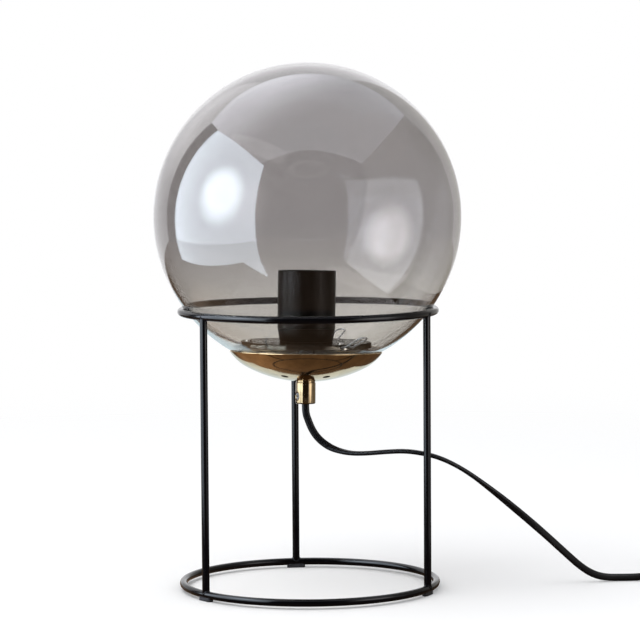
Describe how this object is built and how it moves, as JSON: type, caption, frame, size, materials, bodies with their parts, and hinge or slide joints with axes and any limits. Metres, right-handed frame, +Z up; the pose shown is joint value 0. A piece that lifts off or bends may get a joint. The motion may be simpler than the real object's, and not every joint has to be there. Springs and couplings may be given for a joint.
{
  "type": "table lamp",
  "caption": "Clear glass globe resting at a slight tilt in a black wire ring stand, with a brass dish and cord grip below and a black lamp holder inside.",
  "frame": {"origin": "on the table, on the centreline of the two rings of the stand", "axes": "+Z up, -Y towards the front, +X to the side where the cord leaves"},
  "size_m": [0.5733, 0.25, 0.4283],
  "materials": {
    "coated_steel": "satin",
    "pad_rubber": "matte",
    "clear_glass": "polished",
    "brass": "polished",
    "clear_silicone": "satin",
    "zinc_steel": "satin",
    "nickel_plate": "polished",
    "spring_steel": "satin",
    "black_plastic": "satin",
    "white_ceramic": "satin",
    "spring_brass": "satin",
    "black_cord": "satin",
    "wire_insulation": "satin",
    "switch_plastic": "satin",
    "black_plug": "satin"
  },
  "bodies": {
    "stand": {"upper_ring": "coated_steel", "lower_ring": "coated_steel", "leg_back": "coated_steel", "leg_front_left": "coated_steel", "leg_front_right": "coated_steel", "glide_pads": "pad_rubber", "cord_lead": "black_cord", "cord_mid": "black_cord", "cord_coil": "black_cord", "cord_tail": "black_cord", "switch_base": "switch_plastic", "switch_cover": "switch_plastic", "switch_screws": "zinc_steel", "switch_contacts": "spring_brass", "contact_leaf": "spring_brass", "switch_wires": "wire_insulation", "plug_body": "black_plug", "plug_pins": "nickel_plate"},
    "fitting": {"brass_dish": "brass", "glass_gasket": "clear_silicone", "cord_grip": "brass", "grip_screw": "zinc_steel", "threaded_tube": "zinc_steel", "dish_washer": "zinc_steel", "dish_nut": "brass", "spacer_tube": "brass", "clip_cup": "nickel_plate", "spring_clips": "spring_steel", "clip_rivets": "nickel_plate", "holder_base": "black_plastic", "holder_sleeve": "black_plastic", "holder_body": "white_ceramic", "threaded_shell": "nickel_plate", "centre_contact": "spring_brass", "side_contact": "spring_brass", "terminal_blocks": "spring_brass", "terminal_screws": "zinc_steel", "cord_in_lamp": "black_cord", "holder_wires": "wire_insulation"},
    "glass": {"glass_globe": "clear_glass"},
    "rocker": {"switch_rocker": "switch_plastic"}
  },
  "joints": [
    {"name": "globe_lift", "type": "slide", "parent": "stand", "child": "fitting", "axis": [0, 0, 1], "range_m": [0, 0.1]},
    {"name": "glass_off", "type": "slide", "parent": "fitting", "child": "glass", "axis": [0.0174, 0.0454, 0.9988], "range_m": [0, 0.08], "deforming": ["spring_clips"]},
    {"name": "rocker_press", "type": "hinge", "parent": "stand", "child": "rocker", "pos_m": [0.331, 0.022, 0.0146], "axis": [0, 1, 0], "range_deg": [0, 16]}
  ]
}
